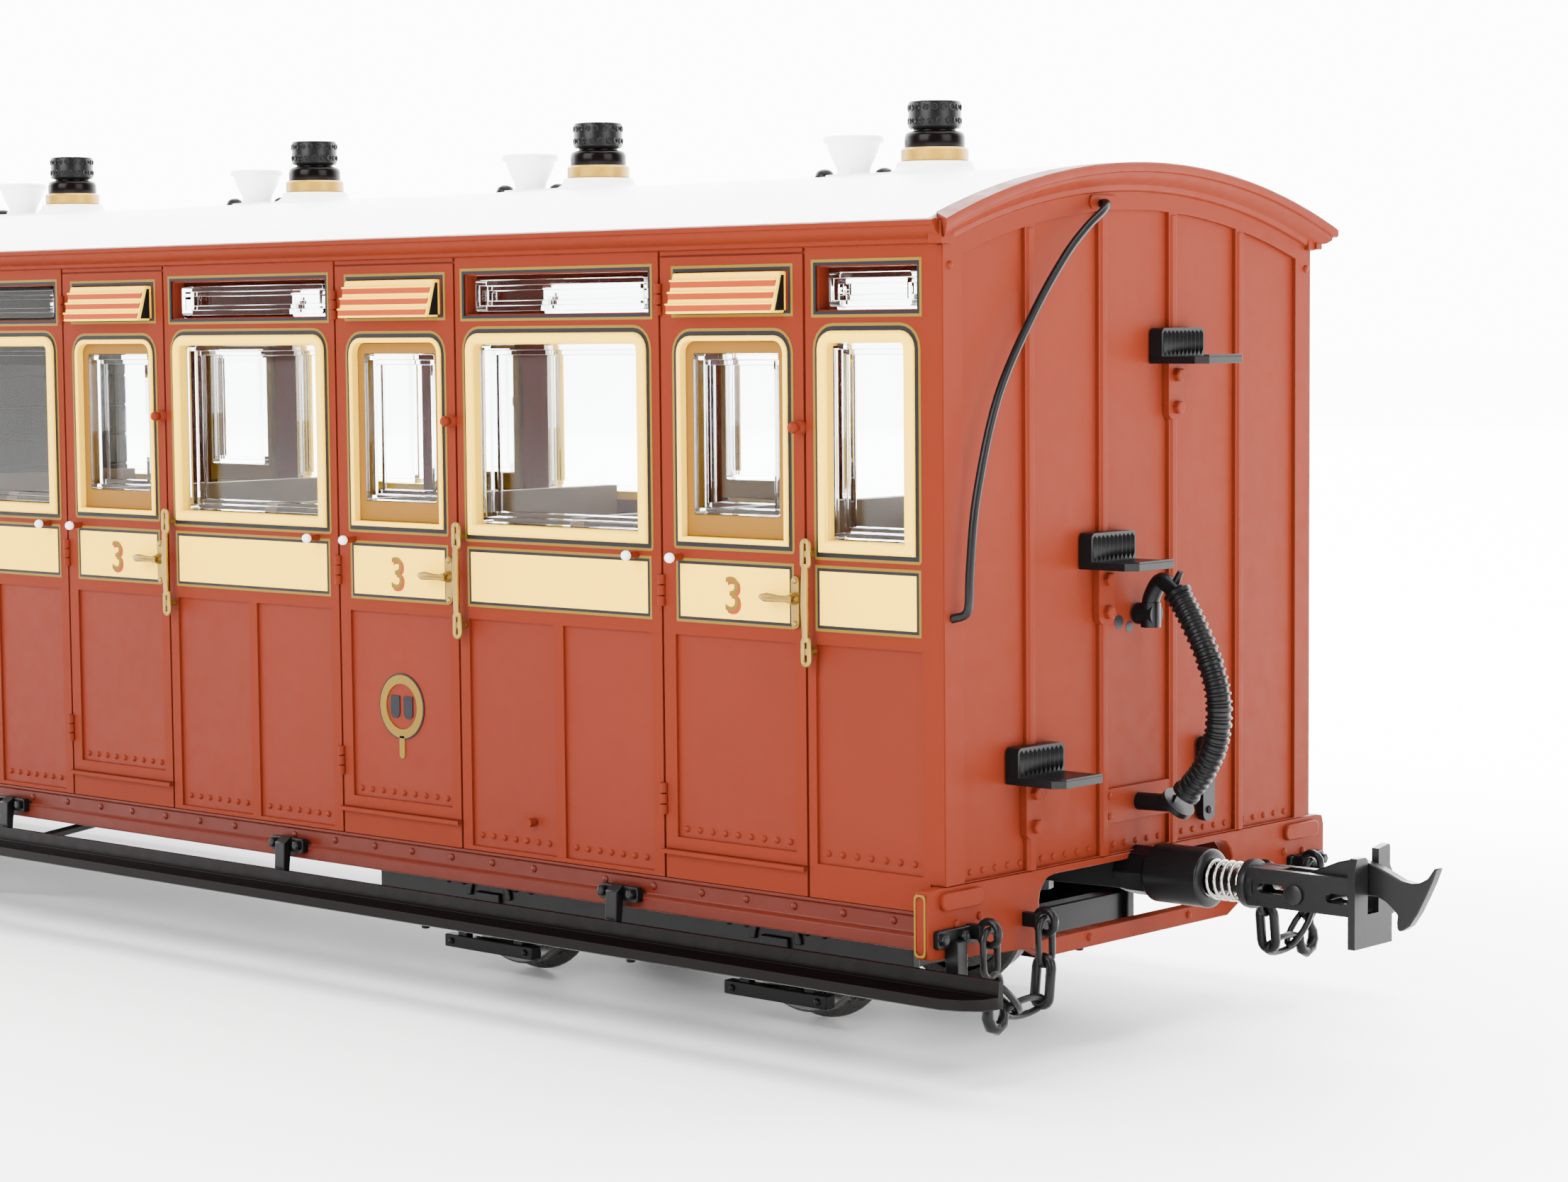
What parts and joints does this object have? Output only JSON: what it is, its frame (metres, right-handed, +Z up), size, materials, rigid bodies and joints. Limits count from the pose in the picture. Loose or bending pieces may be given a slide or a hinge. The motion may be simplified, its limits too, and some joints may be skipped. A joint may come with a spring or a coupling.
{
  "type": "model railway passenger coach",
  "caption": "Narrow-gauge bogie passenger coach with side doors, step boards, roof lamps, swivelling bogies and sprung drawgear.",
  "frame": {"origin": "centre of the bounding box at its base, the rail line under the wheel flanges", "axes": "+X towards the front end along the coach, +Y to its left, +Z up"},
  "size_m": [0.324, 0.0514, 0.066],
  "materials": {
    "body_red": "satin paint",
    "roof_white": "satin",
    "glass": "clear",
    "seat_tan": "matt",
    "black_paint": "satin",
    "gloss_black": "gloss",
    "steel": "turned",
    "rubber": "ribbed",
    "blackened_steel": "chemically blackened"
  },
  "bodies": {
    "coach_body": {"side_left": "body_red", "side_right": "body_red", "end_panel_front": "body_red", "end_panel_rear": "body_red", "roof": "roof_white", "glazing_left": "glass", "glazing_right": "glass", "benches": "seat_tan", "partition": "seat_tan", "chassis_floor": "black_paint", "solebar_left": "body_red", "solebar_right": "body_red", "truss_rod_left": "black_paint", "truss_rod_right": "black_paint", "footboard_left": "gloss_black", "footboard_right": "gloss_black", "headstock_front": "body_red", "bogie_pivot_screw_front": "steel", "drawbar_pivot_screw_front": "steel", "vacuum_hose_front": "rubber", "end_rail_front": "black_paint", "headstock_rear": "body_red", "bogie_pivot_screw_rear": "steel", "drawbar_pivot_screw_rear": "steel", "vacuum_hose_rear": "rubber", "end_rail_rear": "black_paint", "lamp_1": "black_paint", "lamp_2": "black_paint", "lamp_3": "black_paint", "lamp_4": "black_paint", "lamp_5": "black_paint", "lamp_6": "black_paint", "lamp_7": "black_paint", "lamp_8": "black_paint"},
    "bogie_front": {"bogie_frame_front": "black_paint"},
    "drawbar_front": {"drawbar_socket_front": "black_paint", "coupler_spring_front": "steel"},
    "coupler_front": {"coupler_shank_front": "blackened_steel"},
    "hook_front": {"coupling_hook_front": "blackened_steel"},
    "chain_front_left": {"side_chain_front_left": "blackened_steel"},
    "chain_front_right": {"side_chain_front_right": "blackened_steel"},
    "bogie_rear": {"bogie_frame_rear": "black_paint"},
    "drawbar_rear": {"drawbar_socket_rear": "black_paint", "coupler_spring_rear": "steel"},
    "coupler_rear": {"coupler_shank_rear": "blackened_steel"},
    "hook_rear": {"coupling_hook_rear": "blackened_steel"},
    "chain_rear_left": {"side_chain_rear_left": "blackened_steel"},
    "chain_rear_right": {"side_chain_rear_right": "blackened_steel"},
    "wheelset_1": {"axle_1": "steel", "wheel_1_left": "steel", "wheel_1_right": "steel"},
    "wheelset_2": {"axle_2": "steel", "wheel_2_left": "steel", "wheel_2_right": "steel"},
    "wheelset_3": {"axle_3": "steel", "wheel_3_left": "steel", "wheel_3_right": "steel"},
    "wheelset_4": {"axle_4": "steel", "wheel_4_left": "steel", "wheel_4_right": "steel"}
  },
  "joints": [
    {"name": "bogie_front_swivel", "type": "hinge", "parent": "coach_body", "child": "bogie_front", "pos_m": [0.10075, 0, 0.0093], "axis": [0, 0, 1], "range_deg": [-12, 12]},
    {"name": "drawbar_front_swing", "type": "hinge", "parent": "coach_body", "child": "drawbar_front", "pos_m": [0.12855, 0, 0.01202], "axis": [0, 0, 1], "range_deg": [-15, 15]},
    {"name": "coupler_front_buffing", "type": "slide", "parent": "drawbar_front", "child": "coupler_front", "axis": [-1, 0, 0], "range_m": [0, 0.0015], "stiffness_N_per_m": 400, "springref_m": -0.0005, "deforming": ["coupler_spring_front"]},
    {"name": "hook_front_lift", "type": "hinge", "parent": "coupler_front", "child": "hook_front", "pos_m": [0.15165, 0, 0.01185], "axis": [0, -1, 0], "range_deg": [0, 35]},
    {"name": "chain_front_left_swing", "type": "hinge", "parent": "coach_body", "child": "chain_front_left", "pos_m": [0.1398, 0, 0.0103], "axis": [0, -1, 0], "range_deg": [0, 40]},
    {"name": "chain_front_right_swing", "type": "hinge", "parent": "coach_body", "child": "chain_front_right", "pos_m": [0.1398, 0, 0.0103], "axis": [0, -1, 0], "range_deg": [0, 40]},
    {"name": "bogie_rear_swivel", "type": "hinge", "parent": "coach_body", "child": "bogie_rear", "pos_m": [-0.10075, 0, 0.0093], "axis": [0, 0, 1], "range_deg": [-12, 12]},
    {"name": "drawbar_rear_swing", "type": "hinge", "parent": "coach_body", "child": "drawbar_rear", "pos_m": [-0.12855, 0, 0.01202], "axis": [0, 0, 1], "range_deg": [-15, 15]},
    {"name": "coupler_rear_buffing", "type": "slide", "parent": "drawbar_rear", "child": "coupler_rear", "axis": [1, 0, 0], "range_m": [0, 0.0015], "stiffness_N_per_m": 400, "springref_m": -0.0005, "deforming": ["coupler_spring_rear"]},
    {"name": "hook_rear_lift", "type": "hinge", "parent": "coupler_rear", "child": "hook_rear", "pos_m": [-0.15165, 0, 0.01185], "axis": [0, 1, 0], "range_deg": [0, 35]},
    {"name": "chain_rear_left_swing", "type": "hinge", "parent": "coach_body", "child": "chain_rear_left", "pos_m": [-0.1398, 0, 0.0103], "axis": [0, 1, 0], "range_deg": [0, 40]},
    {"name": "chain_rear_right_swing", "type": "hinge", "parent": "coach_body", "child": "chain_rear_right", "pos_m": [-0.1398, 0, 0.0103], "axis": [0, 1, 0], "range_deg": [0, 40]},
    {"name": "wheelset_1_spin", "type": "hinge", "parent": "bogie_front", "child": "wheelset_1", "pos_m": [0.11563, 0, 0.0066], "axis": [0, 1, 0], "continuous": true},
    {"name": "wheelset_2_spin", "type": "hinge", "parent": "bogie_front", "child": "wheelset_2", "pos_m": [0.08588, 0, 0.0066], "axis": [0, 1, 0], "continuous": true},
    {"name": "wheelset_3_spin", "type": "hinge", "parent": "bogie_rear", "child": "wheelset_3", "pos_m": [-0.11563, 0, 0.0066], "axis": [0, 1, 0], "continuous": true},
    {"name": "wheelset_4_spin", "type": "hinge", "parent": "bogie_rear", "child": "wheelset_4", "pos_m": [-0.08588, 0, 0.0066], "axis": [0, 1, 0], "continuous": true}
  ]
}
